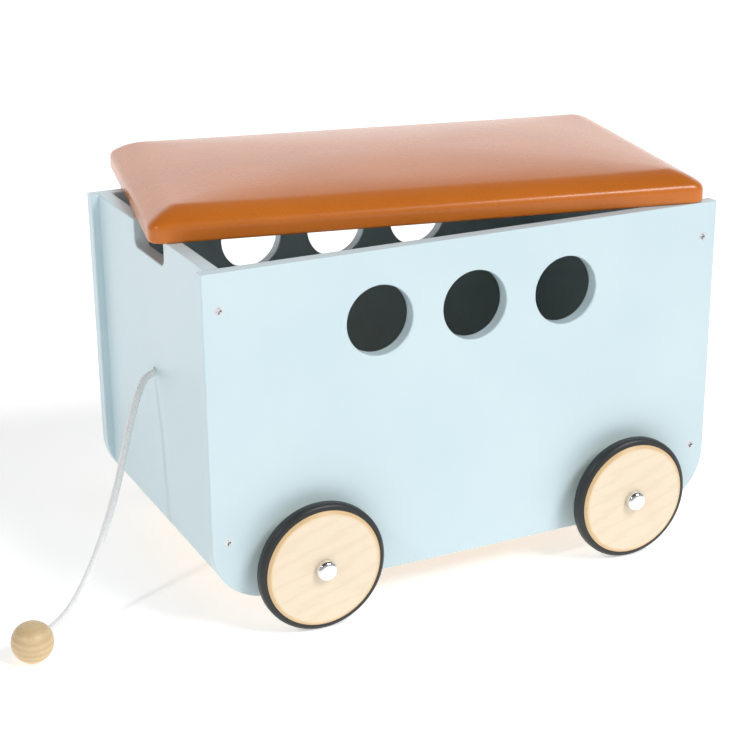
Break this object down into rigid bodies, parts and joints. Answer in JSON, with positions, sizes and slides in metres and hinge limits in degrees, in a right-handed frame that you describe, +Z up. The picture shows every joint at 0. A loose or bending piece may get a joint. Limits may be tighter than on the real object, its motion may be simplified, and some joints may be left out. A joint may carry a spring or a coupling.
{
  "type": "wooden toy box",
  "caption": "Toy chest on four free-running wheels, with portholes in its long sides, finger notches, a loose padded seat lid and a pull cord with a wooden ball.",
  "frame": {"origin": "on the ground under the middle of the chest, half way between its ends and its sides", "axes": "+X along the chest towards the end without the cord, +Y across it away from the long side that the lid's corner meets, +Z up"},
  "size_m": [0.8258, 0.4884, 0.4205],
  "materials": {
    "painted_board": "pale blue satin lacquer on MDF",
    "floor_board": "birch plywood, unfinished",
    "raw_timber": "planed softwood and plywood, unfinished",
    "screw_steel": "zinc plated, satin",
    "axle_steel": "bright drawn steel",
    "spacer_plastic": "black moulded plastic",
    "wheel_wood": "clear satin lacquer on light plywood",
    "tyre_rubber": "smooth black rubber",
    "cap_chrome": "polished",
    "cord_cotton": "white braided cotton",
    "ball_wood": "clear satin lacquer on beech",
    "seat_foam": "open cell foam",
    "seat_leather": "cognac brown coated leatherette, semi-gloss",
    "backing_cloth": "black non-woven cloth"
  },
  "bodies": {
    "chest": {"back_batten": "raw_timber", "back_panel": "painted_board", "back_screws": "screw_steel", "cord_knot": "cord_cotton", "floor_panel": "floor_board", "floor_screws": "screw_steel", "front_batten": "raw_timber", "front_panel": "painted_board", "front_screws": "screw_steel", "hub_cap_back_left": "cap_chrome", "hub_cap_back_right": "cap_chrome", "hub_cap_front_left": "cap_chrome", "hub_cap_front_right": "cap_chrome", "left_axle": "axle_steel", "left_end_panel": "painted_board", "pull_ball": "ball_wood", "pull_cord": "cord_cotton", "right_axle": "axle_steel", "right_end_panel": "painted_board", "wheel_spacer_back_left": "spacer_plastic", "wheel_spacer_back_right": "spacer_plastic", "wheel_spacer_front_left": "spacer_plastic", "wheel_spacer_front_right": "spacer_plastic"},
    "wheel_front_left": {"wheel_disc_front_left": "wheel_wood", "tyre_front_left": "tyre_rubber"},
    "wheel_front_right": {"wheel_disc_front_right": "wheel_wood", "tyre_front_right": "tyre_rubber"},
    "wheel_back_left": {"wheel_disc_back_left": "wheel_wood", "tyre_back_left": "tyre_rubber"},
    "wheel_back_right": {"wheel_disc_back_right": "wheel_wood", "tyre_back_right": "tyre_rubber"},
    "lid": {"lid_board": "raw_timber", "seat_foam": "seat_foam", "seat_cover": "seat_leather", "lid_backing": "backing_cloth"}
  },
  "joints": [
    {"name": "wheel_front_left_spin", "type": "hinge", "parent": "chest", "child": "wheel_front_left", "pos_m": [-0.1825, -0.1913, 0.068], "axis": [0, 1, 0], "continuous": true},
    {"name": "wheel_front_right_spin", "type": "hinge", "parent": "chest", "child": "wheel_front_right", "pos_m": [0.1825, -0.1913, 0.068], "axis": [0, 1, 0], "continuous": true},
    {"name": "wheel_back_left_spin", "type": "hinge", "parent": "chest", "child": "wheel_back_left", "pos_m": [-0.1825, 0.1913, 0.068], "axis": [0, 1, 0], "continuous": true},
    {"name": "wheel_back_right_spin", "type": "hinge", "parent": "chest", "child": "wheel_back_right", "pos_m": [0.1825, 0.1913, 0.068], "axis": [0, 1, 0], "continuous": true},
    {"name": "lid_lift", "type": "slide", "parent": "chest", "child": "lid", "axis": [0, 0, 1], "range_m": [0, 0.25]}
  ]
}
